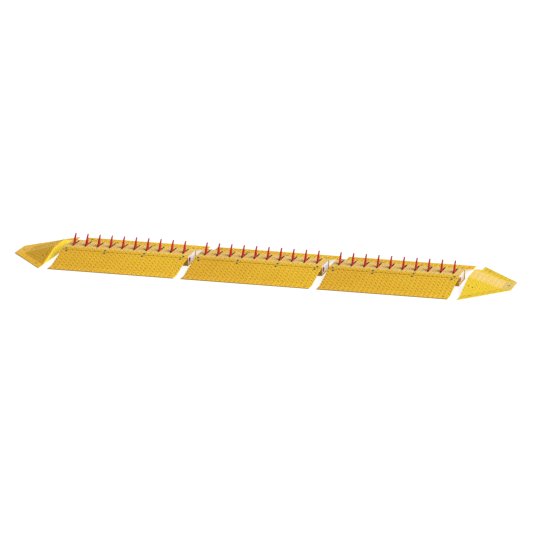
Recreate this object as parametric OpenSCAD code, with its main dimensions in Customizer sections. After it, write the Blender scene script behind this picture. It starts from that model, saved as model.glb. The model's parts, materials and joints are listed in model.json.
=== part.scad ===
// Surface-mounted spike strip: three like sections in a row, with a sloping cap at each end.
// X runs along the strip, Y from the front ramp to the rear ramp, and Z up from the ground.

/* [Section] */
// Length of one section along the strip
section_w = 914; // [860:1:1100]
// Gap between neighbouring sections
section_gap = 54; // [10:1:120]
// Thickness of the tread plate
plate_t = 6; // [4:0.5:8]
// Inner radius of the tread plate's bends
bend_r = 16; // [6:1:24]

/* [Deck] */
// Depth of the deck between its two bends
deck_d = 203; // [198:1:240]
// Height of the deck's top above the ground
deck_h = 76; // [70:1:90]
// Length of the deck's bent edges, measured down the slope
deck_lip = 38; // [32:1:50]
// Width of a spike slot
slot_w = 13; // [11:0.5:18]
// Free room between a spike's front corners and its slot's round end
slot_front_room = 18; // [1:0.5:20]
// Free room behind the path of a spike's tip in its slot
slot_back_room = 5; // [2:0.5:8]

/* [Ramps] */
// Level distance from the deck's bend to the ramp's outer edge
ramp_run = 356; // [300:1:420]
// Depth of the flat lip that lies on the ground
ground_lip = 89; // [60:1:110]
// Open seam between the deck's bent edge and the ramp
seam_gap = 2; // [0.5:0.5:4]
// Diameter of an anchor hole in the lips
anchor_d = 13; // [9:0.5:18]
// Distance of a section's anchor holes from its ends
anchor_inset = 38; // [24:1:80]

/* [Splice strips] */
// Distance from the lower bolts to a splice strip's lower edge, down the slope
splice_edge = 18; // [12:1:30]
// Thickness of a splice strip
splice_t = 6; // [4:0.5:8]
// Distance of a splice strip's upper edge from the end of the deck's bend, down the slope
splice_room = 2; // [1:0.5:4]

/* [Bolts] */
// Bolts in a row
bolt_count = 4; // [2:1:6]
// Distance of the upper row from the deck's bend, down the slope
bolt_upper = 19; // [16:1:24]
// Distance of the lower row from the seam, down the slope
bolt_lower = 18; // [12:1:22]
// Distance of the upper row's end bolts from the section's ends
upper_inset = 27; // [18:1:60]
// Distance of the lower row's end bolts from the section's ends
lower_inset = 39; // [18:1:60]
// Diameter of a bolt's shank
bolt_d = 10; // [8:0.5:12]
// Diameter of a bolt's round head
head_d = 17; // [15:0.5:20]
// Height of a bolt's round head
head_h = 5; // [3:0.5:7]
// Width of a nut across its flats
nut_af = 16; // [14:0.5:18]
// Thickness of a nut
nut_t = 8; // [5:0.5:10]

/* [Housing] */
// Thickness of the housing's walls and base
wall_t = 6; // [4:0.5:7]

/* [Bearing plates] */
// Thickness of a bearing plate
bearing_t = 12; // [8:0.5:16]
// Distance of a bearing plate's face inside the housing's end
bearing_recess = 6; // [3:0.5:14]
// Width of the shallow relief round the shaft's end
relief_w = 3; // [1:0.5:5]
// Depth of that relief
relief_depth = 2; // [1:0.5:4]

/* [Shaft] */
// Diameter of the spike shaft
shaft_d = 32; // [28:0.5:36]
// How far the shaft's ends stand out of the bearing plates
shaft_proud = 3; // [0:0.5:5]
// Height of the shaft's axis above the ground
shaft_h = 34; // [31:0.5:37]
// Room between a folded spike's tip and the housing's back wall
tip_room = 3; // [1:0.5:10]
// Width of a shaft collar
collar_w = 14; // [8:0.5:18]
// Diameter of a shaft collar
collar_d = 48; // [42:0.5:50]

/* [Spikes] */
// Spikes in a section
spike_count = 10; // [6:1:12]
// Distance of the end spikes from the section's ends
spike_inset = 52; // [48:1:80]
// Thickness of a spike
spike_t = 10; // [6:0.5:10]
// Height of a spike's tip above the shaft's axis
spike_rise = 116; // [90:1:124]
// Distance of a spike's tip behind the shaft's axis
spike_set = 62; // [50:1:74]
// Radius of a spike's hub round the shaft
hub_r = 24; // [20:0.5:25]
// Reach of a spike's heel in front of the shaft's axis
heel_reach = 30; // [28:0.5:31]
// Depth of the heel's underside below the shaft's axis
heel_drop = 10; // [6:0.5:12]
// Height of the heel's top above the shaft's axis
heel_rise = 6; // [3:0.5:7]
// Width of the stop bar under the heels
stop_w = 10; // [8:0.5:14]

/* [Return springs] */
// Wire diameter of a return spring
spring_wire = 5; // [3:0.5:5]
// Full turns of a return spring
spring_turns = 5; // [3:1:6]
// Distance from one turn to the next
spring_pitch = 6.4; // [6:0.1:7]
// Length of the leg that lies on the housing's base
spring_foot = 50; // [30:1:70]

/* [End caps] */
// Length of an end cap along the strip
cap_len = 300; // [240:1:380]
// Gap between an end cap and the section beside it
cap_gap = 66; // [10:1:120]
// Distance of the caps' lip holes from their inner ends
cap_anchor_x = 60; // [30:1:120]
// Thickness of a cap's end wall and rib
cap_wall_t = 6; // [4:0.5:8]
// Height of the end wall where it stops short of the slope's foot
cap_wall_end_h = 8; // [4:0.5:14]
// Diameter of a link hole in a cap's sloping sides
link_d = 9; // [6:0.5:12]
// Distance of the first link hole from the cap's inner end
link_inset = 24; // [16:1:40]
// Distance between the two link holes of a pair
link_pitch = 28; // [16:1:40]
// Level distance of the link holes from the deck's bend
link_out = 110; // [60:1:160]

/* [Hidden] */
$fn = 48;
SECTIONS = ["left", "middle", "right"];
CAPS = ["left", "right"];
SECTION_PIECES = [
    "deck_plate", "housing", "front_ramp", "rear_ramp", "front_splice", "rear_splice",
    "left_bearing_plate", "right_bearing_plate", "spike_shaft", "spikes", "shaft_collars",
    "return_springs", "stop_bar", "ramp_bolts", "ramp_nuts"
];
CAP_PIECES = ["cap_shell", "cap_end_wall", "cap_rib"];

// Overrun of every cut past the face that it opens
overrun = 1;
// Radial clearance of the shaft in its bearing plates
running_clearance = 0.05;
// Radial clearance of what is fixed on the shaft, and of a nut on its bolt
shaft_fit = 0.02;
// Clearance of a bearing plate to the housing's walls and the deck
plate_fit = 0.1;
// Clearance of the heels above the stop bar
stop_clearance = 0.3;
// Free room between the stop bar and the spikes' hubs
hub_room = 1.5;
// Side play of the shaft between its collars and the bearing plates
end_play = 0.5;
// Radial clearance of a bolt in its holes
bolt_clearance = 0.3;
// Clearance of a spring to what its legs bear on
spring_clearance = 0.3;
// Clearance of a cap's wall and rib to the shell that they carry
weld_clearance = 0.1;

// Slope of the ramps, from the deck's bend to the lip's bend
ramp_tan = (deck_h - plate_t) / (ramp_run - ground_lip);
ramp_a = atan(ramp_tan);
// Distances from the middle of the deck to its bend, the lip's bend and the ramp's outer edge
bend_y = deck_d / 2;
toe_y = bend_y + ramp_run - ground_lip;
edge_y = bend_y + ramp_run;
// How far a bend shifts the plate's underside, and the flat that its inner radius takes up
bend_shift = plate_t * tan(ramp_a / 2);
bend_flat = bend_r * tan(ramp_a / 2);
// The housing stands where the deck's underside is still flat
box_half = bend_y - bend_shift - bend_flat;
deck_under = deck_h - plate_t;
anchor_y = edge_y - ground_lip / 2;

bearing_x = section_w / 2 - bearing_recess;
bearing_inner_x = bearing_x - bearing_t;
// Depth inside the housing, less what stands in front of the shaft and the room behind a folded spike
inner_half = box_half - wall_t;
spike_room = 2 * inner_half - hub_r - hub_room - stop_w - plate_fit - tip_room;
// A spike's tip about the shaft's axis, drawn in along its line where the housing is too shallow for it
spike_reach = min(norm([spike_set, spike_rise]), spike_room);
spike_tip = spike_reach * unit([spike_set, spike_rise]);
// The shaft stands where its folded spikes just clear the back wall
shaft_y = inner_half - tip_room - spike_reach;
spike_pitch = (section_w - 2 * spike_inset) / (spike_count - 1);
spike_xs = [for (k = [0 : spike_count - 1]) spike_inset - section_w / 2 + k * spike_pitch];
seam_end = deck_lip + seam_gap;
strip_half = (len(SECTIONS) * section_w + (len(SECTIONS) - 1) * section_gap) / 2;

// Places in a spike's outline as shares of its tip's place about the shaft's axis
root_front_share = [0, 0.37];
front_pull_share = [0.5, 0.84];
neck_pull_share = [0.74, 0.8];
shoulder_share = [0.78, 0.62];
root_back_share = [0.77, 0.37];
curve_steps = 8;

// An upright spike's front edge where it enters the deck, behind the shaft's axis
root_front = spike_place(root_front_share);
entry_share = min(1, (deck_under - shaft_h) / root_front.y);
entry_front = entry_share * (root_front.x + hub_r) - hub_r;
// Depth of a slot's round end where a spike's side faces would meet it
slot_round = (slot_w - sqrt(pow(slot_w, 2) - pow(spike_t, 2))) / 2;
// A slot runs from in front of the upright spike to behind the path of its tip
slot_front_y = shaft_y + entry_front - slot_front_room - slot_round;
slot_back_y = shaft_y + sqrt(pow(spike_reach, 2) - pow(deck_under - shaft_h, 2)) + slot_back_room;

// A return spring: its foot's drop, the room above its axis, and its turns' radius
wire_r = spring_wire / 2;
foot_drop = shaft_h - wall_t - wire_r - spring_clearance;
coil_room = deck_under - shaft_h - wire_r - spring_clearance;
coil_r = min(foot_drop, coil_room);
// The arm rises by an angle on its way back to the spikes, as far as the deck leaves it room
arm_rise_angle = 5;
arm_angle = 180 - min(arm_rise_angle, atan((coil_room - coil_r) / spike_place(root_back_share).x));
hook_bend_share = 0.3;
curl_rings = 8;
wire_sides = 6;
coil_angle = 360 * spring_turns + arm_angle;
coil_steps = ceil(coil_angle * curl_rings / 360);
coil_len = spring_pitch * coil_angle / 360;
// Springs stand between two spikes, this many spikes in from each end
spring_bay = 2;

// A cap's slope along the strip, and the upright thickness of its sloping plate
cap_tan = (deck_h - plate_t) / (cap_len * (ramp_run - ground_lip) / ramp_run);
roof_drop = plate_t * norm([1, cap_tan, ramp_tan]);

function section_x(i) = (i - (len(SECTIONS) - 1) / 2) * (section_w + section_gap);

// Point of the front slope, s down from the deck's bend and sunk square into the plate
function slope_point(s, sunk) = [
    -bend_y - s * cos(ramp_a) + sunk * sin(ramp_a),
    deck_h - s * sin(ramp_a) - sunk * cos(ramp_a)
];

// An outline's points for the other side, in the order that carries the outline on
function mirrored(points) = [for (k = [len(points) - 1 : -1 : 0]) [-points[k].x, points[k].y]];

function unit(v) = v / norm(v);

// Points of a curve that leaves a towards b and reaches c from b
function curve(a, b, c) = [
    for (k = [0 : curve_steps])
        let (t = k / curve_steps) (1 - t) * (1 - t) * a + 2 * t * (1 - t) * b + t * t * c
];

// Rounded corner of radius r at b, on the way from a to c
function corner(a, b, c, r) =
    let (u = unit(a - b), v = unit(c - b), flat = r / tan(acos(u * v) / 2))
        curve(b + flat * u, b, b + flat * v);

// Place in a spike's outline, measured from the shaft's axis
function spike_place(share) = [share.x * spike_tip.x, share.y * spike_tip.y];

function bolt_xs(inset) = [
    for (k = [0 : bolt_count - 1]) inset - section_w / 2 + k * (section_w - 2 * inset) / (bolt_count - 1)
];

// Bolts of one side, each as its place along the section and down the slope
upper_bolts = [for (x = bolt_xs(upper_inset)) [x, bolt_upper]];
lower_bolts = [for (x = bolt_xs(lower_inset)) [x, seam_end + bolt_lower]];
side_bolts = concat(upper_bolts, lower_bolts);

// Outline in Y and Z, carried along X and centred on the section
module along_x(length) {
    translate([-length / 2, 0, 0]) rotate([90, 0, 90]) linear_extrude(length) children();
}

// Round bar along X, centred on the section at the shaft's axis
module on_axis(length, d) {
    translate([0, shaft_y, shaft_h]) rotate([0, 90, 0]) cylinder(h = length, d = d, center = true);
}

module front_and_rear() {
    children();
    mirror([0, 1, 0]) children();
}

// Children at each bolt's place on the front slope, with Z square out of the plate
module at_bolts(places) {
    for (b = places)
        let (p = slope_point(b[1], 0)) translate([b[0], p.x, p.y]) rotate([ramp_a, 0, 0]) children();
}

module bolt_holes(places) {
    depth = plate_t + splice_t + 2 * overrun;
    at_bolts(places)
        translate([0, 0, overrun - depth]) cylinder(h = depth, d = bolt_d + 2 * bolt_clearance);
}

module anchor_hole(x, y) {
    translate([x, y, -overrun]) cylinder(h = plate_t + 2 * overrun, d = anchor_d);
}

module slot_cut() {
    length = slot_back_y - slot_front_y - slot_w;
    translate([0, (slot_front_y + slot_back_y) / 2, deck_under - overrun])
        linear_extrude(plate_t + 2 * overrun) {
            square([slot_w, length], center = true);
            for (side = [-1, 1]) translate([0, side * length / 2]) circle(d = slot_w);
        }
}

module deck_plate() {
    lip_top = slope_point(deck_lip, 0);
    lip_under = slope_point(deck_lip, plate_t);
    bend_under = [bend_shift - bend_y, deck_under];
    top = concat([lip_top], corner(lip_top, [-bend_y, deck_h], [0, deck_h], bend_r + plate_t));
    under = concat(corner([0, deck_under], bend_under, lip_under, bend_r), [lip_under]);
    color("goldenrod") difference() {
        along_x(section_w) polygon(concat(top, mirrored(top), mirrored(under), under));
        for (x = spike_xs) translate([x, 0, 0]) slot_cut();
        front_and_rear() bolt_holes(upper_bolts);
    }
}

// Open channel under the deck: a base with two walls
module housing() {
    color("darkgoldenrod") along_x(section_w) polygon([
        [-box_half, deck_under], [-box_half, 0], [box_half, 0], [box_half, deck_under],
        [inner_half, deck_under], [inner_half, wall_t], [-inner_half, wall_t], [-inner_half, deck_under]
    ]);
}

module ramp() {
    seam_top = slope_point(seam_end, 0);
    seam_under = slope_point(seam_end, plate_t);
    edge_top = [-edge_y, plate_t];
    edge_under = [-edge_y, 0];
    color("goldenrod") difference() {
        along_x(section_w) polygon(concat(
            [seam_top], corner(seam_top, [-toe_y, plate_t], edge_top, bend_r), [edge_top, edge_under],
            corner(edge_under, [bend_shift - toe_y, 0], seam_under, bend_r + plate_t), [seam_under]
        ));
        bolt_holes(lower_bolts);
        for (side = [-1, 1]) anchor_hole(side * (section_w / 2 - anchor_inset), -anchor_y);
    }
}

// Strip behind the seam that joins the deck's bent edge to the ramp
module splice() {
    splice_start = bend_shift + bend_flat + splice_room;
    splice_end = seam_end + bolt_lower + splice_edge;
    color("darkgoldenrod") difference() {
        along_x(section_w) polygon([
            slope_point(splice_start, plate_t), slope_point(splice_end, plate_t),
            slope_point(splice_end, plate_t + splice_t), slope_point(splice_start, plate_t + splice_t)
        ]);
        bolt_holes(side_bolts);
    }
}

// Round-headed bolts through the plate and its splice strip
module ramp_bolts() {
    cap_r = (pow(head_d / 2, 2) + pow(head_h, 2)) / (2 * head_h);
    shank = plate_t + splice_t + nut_t;
    color("slategray") front_and_rear() at_bolts(side_bolts) {
        intersection() {
            cylinder(h = head_h, d = head_d);
            translate([0, 0, head_h - cap_r]) sphere(r = cap_r);
        }
        translate([0, 0, -shank]) cylinder(h = shank, d = bolt_d);
    }
}

module ramp_nuts() {
    nut_base = plate_t + splice_t + nut_t;
    color("slategray") front_and_rear() at_bolts(side_bolts) translate([0, 0, -nut_base]) difference() {
        cylinder(h = nut_t, d = nut_af / cos(30), $fn = 6);
        translate([0, 0, -overrun]) cylinder(h = nut_t + 2 * overrun, d = bolt_d + 2 * shaft_fit);
    }
}

// Plate that closes one end of the housing and carries the shaft
module bearing_plate(side) {
    half = inner_half - plate_fit;
    color("whitesmoke") mirror([side < 0 ? 1 : 0, 0, 0]) difference() {
        translate([bearing_inner_x, -half, wall_t])
            cube([bearing_t, 2 * half, deck_under - plate_fit - wall_t]);
        on_axis(section_w, shaft_d + 2 * running_clearance);
        translate([bearing_x, 0, 0]) on_axis(2 * relief_depth, shaft_d + 2 * relief_w);
    }
}

module spike_shaft() {
    color("firebrick") on_axis(2 * (bearing_x + shaft_proud), shaft_d);
}

// Leaning fin on its hub, with the heel that stops it upright
module spike_outline() {
    front = curve(root_front, spike_place(front_pull_share), spike_tip);
    back = curve(spike_tip, spike_place(neck_pull_share), spike_place(shoulder_share));
    difference() {
        union() {
            circle(r = hub_r);
            polygon(concat(
                [[-hub_r, 0]], front, [for (k = [1 : curve_steps]) back[k]],
                [spike_place(root_back_share), [hub_r, 0]]
            ));
            translate([-heel_reach, -heel_drop]) square([heel_reach, heel_drop + heel_rise]);
        }
        circle(d = shaft_d + 2 * shaft_fit);
    }
}

module spikes() {
    color("firebrick") for (x = spike_xs)
        translate([x, shaft_y, shaft_h]) along_x(spike_t) spike_outline();
}

module shaft_collars() {
    color("dimgray") for (side = [-1, 1])
        translate([side * (bearing_inner_x - end_play - collar_w / 2), 0, 0]) difference() {
            on_axis(collar_w, collar_d);
            on_axis(collar_w + 2 * overrun, shaft_d + 2 * shaft_fit);
        }
}

module stop_bar() {
    length = 2 * (bearing_inner_x - plate_fit);
    translate([-length / 2, shaft_y - hub_r - hub_room - stop_w, wall_t])
        color("dimgray") cube([length, stop_w, shaft_h - heel_drop - stop_clearance - wall_t]);
}

// Centre line of a return spring about the shaft's axis: foot, turns, arm and hook
function coil_point(a) = [spring_pitch * a / 360 - coil_len / 2, -coil_r * sin(a), -coil_r * cos(a)];

function spring_path() =
    let (
        arm_start = coil_point(coil_angle),
        arm_way = [0, -cos(coil_angle), sin(coil_angle)],
        edge_way = spike_place(root_back_share) - [hub_r, 0],
        edge_out = [0, edge_way.y, -edge_way.x] / norm(edge_way),
        arm_gap = wire_r + spring_clearance - (arm_start - [0, hub_r, 0]) * edge_out,
        arm_len = arm_gap / (arm_way * edge_out),
        arm_end = arm_start + arm_len * arm_way,
        bend = hook_bend_share * spring_wire
    )
    concat(
        [[-coil_len / 2, spring_foot, -foot_drop]],
        [for (k = [0 : coil_steps]) coil_point(k * coil_angle / coil_steps)],
        [
            arm_end - spring_wire * arm_way,
            arm_end - bend * arm_way + [bend, 0, 0],
            arm_end + [spring_wire, 0, 0],
            [spike_pitch / 2, arm_end.y, arm_end.z]
        ]
    );

function tube_tangent(path, i) = unit(path[min(i + 1, len(path) - 1)] - path[max(i - 1, 0)]);

function square_to(n, t) = unit(n - (n * t) * t);

// Directions square to the path, each turned as little as can be from the one before
function tube_normals(path) = [
    for (i = 0, n = square_to([1, 0, 0], tube_tangent(path, 0)); i < len(path);
         i = i + 1, n = square_to(n, tube_tangent(path, min(i, len(path) - 1)))) n
];

// Least clear distance between points of a wire at least half a turn apart
function self_gap(path) = min([
    for (i = [0 : len(path) - 1], j = [i + curl_rings / 2 : 1 : len(path) - 1])
        norm(path[i] - path[j]) - spring_wire
]);

module wire(path) {
    normals = tube_normals(path);
    last = len(path) - 1;
    points = [
        for (i = [0 : last], j = [0 : wire_sides - 1])
            let (a = 360 * j / wire_sides, t = tube_tangent(path, i))
                path[i] + wire_r * (cos(a) * normals[i] + sin(a) * cross(t, normals[i]))
    ];
    sides = [
        for (i = [0 : last - 1], j = [0 : wire_sides - 1])
            let (a = i * wire_sides + j, b = i * wire_sides + (j + 1) % wire_sides)
                each [[a, a + wire_sides, b + wire_sides], [a, b + wire_sides, b]]
    ];
    start = [for (j = [1 : wire_sides - 2]) [0, j, j + 1]];
    end = [for (j = [1 : wire_sides - 2]) [0, j + 1, j] + last * wire_sides * [1, 1, 1]];
    polyhedron(points = points, faces = concat(sides, start, end));
}

module return_springs() {
    path = spring_path();
    echo("return spring: least gap between turns in mm", self_gap(path));
    color("gray") for (side = [0, 1])
        mirror([side, 0, 0])
            translate([spike_xs[spring_bay - 1] + spike_pitch / 2, shaft_y, shaft_h]) wire(path);
}

// Sloping top of a cap as a solid, from its high end at x down to a level floor
module cap_roof(x, top, floor) {
    out = bend_y + (top - floor) / ramp_tan;
    far = x + (top - floor) / cap_tan;
    polyhedron(
        points = [
            [x, -out, floor], [x, -bend_y, top], [x, bend_y, top], [x, out, floor],
            [far, -bend_y, floor], [far, bend_y, floor]
        ],
        faces = [[0, 3, 2, 1], [0, 1, 4], [1, 2, 5, 4], [2, 3, 5], [0, 4, 5, 3]]
    );
}

// Space under a cap's sloping plate, less a clearance
module cap_inside(clearance) {
    cap_roof(-overrun, deck_h - roof_drop - clearance + overrun * cap_tan, -overrun);
}

module cap_shell() {
    edge_tan = ramp_run / cap_len;
    side_anchor_y = edge_y - cap_anchor_x * edge_tan - ground_lip / 2;
    outer_lip = ground_lip / edge_tan;
    color("goldenrod") difference() {
        union() {
            linear_extrude(plate_t) polygon([
                [0, -edge_y], [cap_len, -bend_y], [cap_len, bend_y], [0, edge_y]
            ]);
            cap_roof(0, deck_h, 0);
        }
        cap_inside(0);
        anchor_hole(cap_len - outer_lip / 2, 0);
        front_and_rear() {
            anchor_hole(cap_anchor_x, -side_anchor_y);
            for (x = [link_inset, link_inset + link_pitch])
                translate([x, -bend_y - link_out, 0]) cylinder(h = deck_h, d = link_d);
        }
    }
}

module cap_end_wall() {
    wall_half = bend_y + (deck_h - roof_drop - cap_wall_end_h) / ramp_tan;
    color("gold") intersection() {
        translate([0, -wall_half, 0]) cube([cap_wall_t, 2 * wall_half, deck_h]);
        cap_inside(weld_clearance);
    }
}

// Plate on edge along the middle of a cap, under its sloping strip
module cap_rib() {
    color("darkgoldenrod") intersection() {
        translate([cap_wall_t, -cap_wall_t / 2, 0]) cube([cap_len, cap_wall_t, deck_h]);
        cap_inside(weld_clearance);
    }
}

for (i = [0 : len(SECTIONS) - 1]) translate([section_x(i), 0, 0]) {
    s = SECTIONS[i];
    deck_plate();
    housing();
    ramp();
    mirror([0, 1, 0]) ramp();
    splice();
    mirror([0, 1, 0]) splice();
    bearing_plate(-1);
    bearing_plate(1);
    spike_shaft();
    spikes();
    shaft_collars();
    return_springs();
    stop_bar();
    ramp_bolts();
    ramp_nuts();
}

for (i = [0 : len(CAPS) - 1]) mirror([1 - i, 0, 0]) translate([strip_half + cap_gap, 0, 0]) {
    s = CAPS[i];
    cap_shell();
    cap_end_wall();
    cap_rib();
}
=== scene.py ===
"""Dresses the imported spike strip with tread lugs, bolts, spikes, return springs, finishes and a stage."""

import json
import math

import bpy
import numpy as np
from bpy.props import FloatProperty, FloatVectorProperty, IntProperty, PointerProperty
from mathutils import Matrix, Vector


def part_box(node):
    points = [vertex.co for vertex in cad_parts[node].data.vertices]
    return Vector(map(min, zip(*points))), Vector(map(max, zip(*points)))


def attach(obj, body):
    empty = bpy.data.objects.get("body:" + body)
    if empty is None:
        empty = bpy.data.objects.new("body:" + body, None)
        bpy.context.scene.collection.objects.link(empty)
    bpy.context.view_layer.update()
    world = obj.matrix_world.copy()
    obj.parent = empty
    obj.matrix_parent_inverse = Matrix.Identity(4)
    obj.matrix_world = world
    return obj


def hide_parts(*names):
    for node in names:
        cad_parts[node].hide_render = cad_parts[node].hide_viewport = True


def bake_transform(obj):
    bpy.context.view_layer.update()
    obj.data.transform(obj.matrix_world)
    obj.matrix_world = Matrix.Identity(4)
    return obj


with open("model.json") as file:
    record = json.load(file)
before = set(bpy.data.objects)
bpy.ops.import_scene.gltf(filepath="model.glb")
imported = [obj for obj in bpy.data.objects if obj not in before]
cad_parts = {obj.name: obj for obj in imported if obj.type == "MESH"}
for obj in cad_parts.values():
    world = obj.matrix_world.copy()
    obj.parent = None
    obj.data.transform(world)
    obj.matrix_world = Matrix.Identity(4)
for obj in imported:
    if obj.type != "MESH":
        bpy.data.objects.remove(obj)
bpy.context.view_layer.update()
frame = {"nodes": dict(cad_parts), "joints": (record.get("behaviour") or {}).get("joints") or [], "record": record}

bl_info = {
    "name": "Spike Strip Finisher",
    "version": (1, 0, 0),
    "blender": (4, 5, 0),
    "location": "View3D > Sidebar > Spike Strip",
    "description": "Adds tread lugs, bolts, spikes, springs, finishes and a stage to a spike strip",
    "category": "Add Mesh",
}

SECTIONS = ("left", "middle", "right")
CAPS = ("left", "right")

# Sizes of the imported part, in metres
PLATE_T = 0.006
BEND_R = 0.016
DECK_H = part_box("middle_deck_plate")[1].z
DECK_D = 0.203
DECK_LIP = 0.038
SEAM_GAP = 0.002
RAMP_RUN = 0.356
GROUND_LIP = 0.089
BEND_Y = DECK_D / 2
TOE_Y = BEND_Y + RAMP_RUN - GROUND_LIP
EDGE_Y = BEND_Y + RAMP_RUN
RAMP_TAN = (DECK_H - PLATE_T) / (RAMP_RUN - GROUND_LIP)
RAMP_A = math.atan(RAMP_TAN)
WALL_T = 0.006
BOX_INNER = BEND_Y - (PLATE_T + BEND_R) * math.tan(RAMP_A / 2) - WALL_T
STRIP_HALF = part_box("right_deck_plate")[1].x
SECTION_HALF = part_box("middle_deck_plate")[1].x
SECTION_PITCH = STRIP_HALF - SECTION_HALF
CAP_LEN = 0.3
CAP_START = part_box("right_cap_shell")[0].x
CAP_FAR = CAP_LEN * (RAMP_RUN - GROUND_LIP) / RAMP_RUN
CAP_TAN = (DECK_H - PLATE_T) / CAP_FAR
SLOT_W = 0.013
SLOT_FRONT_ROOM = 0.018
SLOT_BACK_ROOM = 0.005
ANCHOR_R = 0.0065
ANCHOR_INSET = 0.038
ANCHOR_Y = EDGE_Y - GROUND_LIP / 2
CAP_ANCHOR_X = 0.06
LINK_R = 0.0045
LINK_XS = (0.024, 0.052)
LINK_Y = BEND_Y + 0.11
BOLTS_IN_ROW = 4
# Rows of bolts: distance of the end bolts from the section's ends, and of the row down the slope
BOLT_ROWS = ((0.027, 0.019), (0.039, DECK_LIP + SEAM_GAP + 0.018))
SHAFT_Y, SHAFT_H = frame["joints"][0]["pos_m"][1:]
SPIKE_COUNT = 10
SPIKE_INSET = 0.052
SPIKE_T = 0.010
SPIKE_SET = 0.062
SPIKE_RISE = 0.116
SPIKE_SIZE = np.array([SPIKE_SET, SPIKE_RISE])
# Points of a spike's outline about the shaft's axis, as shares of its tip's place
ROOT_FRONT = SPIKE_SIZE * (0.0, 0.37)
FRONT_PULL = SPIKE_SIZE * (0.5, 0.84)
NECK_PULL = SPIKE_SIZE * (0.74, 0.80)
SHOULDER = SPIKE_SIZE * (0.78, 0.62)
ROOT_BACK = SPIKE_SIZE * (0.77, 0.37)
HUB_R = 0.024
# A heel's reach in front of the shaft's axis, its depth below the axis and its height above it
HEEL = (0.030, 0.010, 0.006)
# Springs stand in this space between two spikes, where the space at each end is number 0
SPRING_BAY = 1

# Room that lugs leave round a bolt's middle and past the edge of a hole
BOLT_ROOM = 0.0095
HOLE_ROOM = 0.001
# Distance inside a bend over which worn lugs rise to their full height
WEAR_FADE = 0.02
# Steps in the curves of a spike's outline
OUTLINE_STEPS = 14

# Where one look gives way to another: start and end of the change, from the place that it is used with
PAST_SECTION_END = (0.002, 0.004)
BEFORE_SECTION_END = (-0.018, -0.014)
PAST_INNER_WALL = (0.001, 0.004)
BELOW_BASE = (-0.002, -0.001)
BELOW_DECK = (-0.0016, -0.0006)
ABOUT_BEND = (-0.014, 0.002)
ABOUT_MIDDLE = (-0.1, 0.1)
BESIDE_SEAM = (0.002, 0.006)
CUT_EDGE = (-0.0012, -0.0002)
# Painted shade on the spikes, with some grime: below the deck, and at the foot in front of the shaft
UNDER_DECK = (-0.002, 0.0)
SPIKE_FOOT = (0.0, 0.009)
SPIKE_FRONT = (0.002, 0.020)

# Colours that a coat leans to, and how far
# Painted shade towards the left of each section and on the left cap
PAINTED_SHADE_COAT = ((0.32, 0.09, 0.06), 0.18)
# Painted highlight towards the right of each section
PAINTED_HIGHLIGHT_COAT = ((0.95, 0.85, 0.12), 0.13)
RUBBED_COAT = ((1.0, 0.9, 0.6), 0.3)
PALE_SHEET = ((1.0, 0.8, 0.2), 0.12)
# Painted light on the caps' smooth sheet, which the next section shades from the lamp
PAINTED_LIGHT_SHEET = ((1.0, 0.85, 0.04), 0.6)
BRIGHT_RED = ((0.9, 0.1, 0.1), 0.08)
# Painted highlight, nearer lemon, on the right cap
PAINTED_HIGHLIGHT_LEMON = (0.70, 0.56, 0.035)
# Values between which a noise is spread out from none to one
CLOUDY = (0.3, 0.7)
# Share of a hidden face that painted shade, with some grime, covers
GRIME_AND_SHADE_COVER = 0.95


def length_of(name, description, default):
    """A setting that is a length in metres."""
    return FloatProperty(name=name, description=description, default=default, unit="LENGTH")


def angle_of(name, description, degrees):
    """A setting that is an angle, given here in degrees."""
    return FloatProperty(name=name, description=description, default=math.radians(degrees), subtype="ANGLE")


def colour_of(name, description, default):
    """A setting that is a colour."""
    return FloatVectorProperty(name=name, description=description, default=default, subtype="COLOR")


class TreadSettings(bpy.types.PropertyGroup):
    """Sizes of the raised lugs of the tread plate."""

    across: length_of("Across", "Distance between like lugs along the strip", 0.033)
    along: length_of("Along", "Distance between like lugs down the plate", 0.037)
    length: length_of("Length", "Length of a lug", 0.028)
    width: length_of("Width", "Width of a lug", 0.0105)
    height: length_of("Height", "Height of a lug above the plate", 0.0024)
    worn: length_of("Worn height", "Height of a lug on the trodden decks", 0.0009)
    cap: length_of("Cap height", "Height of a lug on the end caps", 0.0014)


class BoltSettings(bpy.types.PropertyGroup):
    """Sizes of the round-headed bolts along the ramps."""

    head: length_of("Head", "Diameter of the head", 0.017)
    rise: length_of("Rise", "Height of the head", 0.005)
    shank: length_of("Shank", "Diameter of the shank", 0.010)
    socket: length_of("Socket", "Width of the hexagon socket across its flats", 0.006)


class SpikeSettings(bpy.types.PropertyGroup):
    """Edge of the spikes and fineness of the return springs."""

    chamfer: length_of("Chamfer", "Width of the ground edge round a spike", 0.0011)
    wire_sides: IntProperty(
        name="Wire sides", description="Sides of a return spring's wire", default=12, min=6
    )
    turn_steps: IntProperty(
        name="Turn steps", description="Steps in one turn of a spring", default=36, min=12
    )


class FinishSettings(bpy.types.PropertyGroup):
    """Colours of the strip's finishes."""

    yellow: colour_of("Yellow", "Coating of the tread plate", (0.84, 0.49, 0.026))
    dirt: colour_of("Dirt", "Dirt at the foot of the lugs", (0.30, 0.135, 0.02))
    # Dust on the trodden tops, which also stands in for painted sheen there
    dust_and_sheen: colour_of("Dust", "Pale dust on the trodden tops", (0.78, 0.56, 0.21))
    # Painted shade, with some grime, inside the housings, in the slots and on the spikes below the deck
    grime_and_shade: colour_of("Grime", "Grime inside the housings and slots", (0.045, 0.026, 0.010))
    red: colour_of("Red", "Coating of the spikes", (0.50, 0.013, 0.022))
    white: colour_of("White", "Bearing plates", (0.93, 0.93, 0.95))
    steel: colour_of("Steel", "Bare steel inside", (0.42, 0.42, 0.43))
    zinc: colour_of("Dark zinc", "Bolts and nuts", (0.046, 0.055, 0.10))


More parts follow.
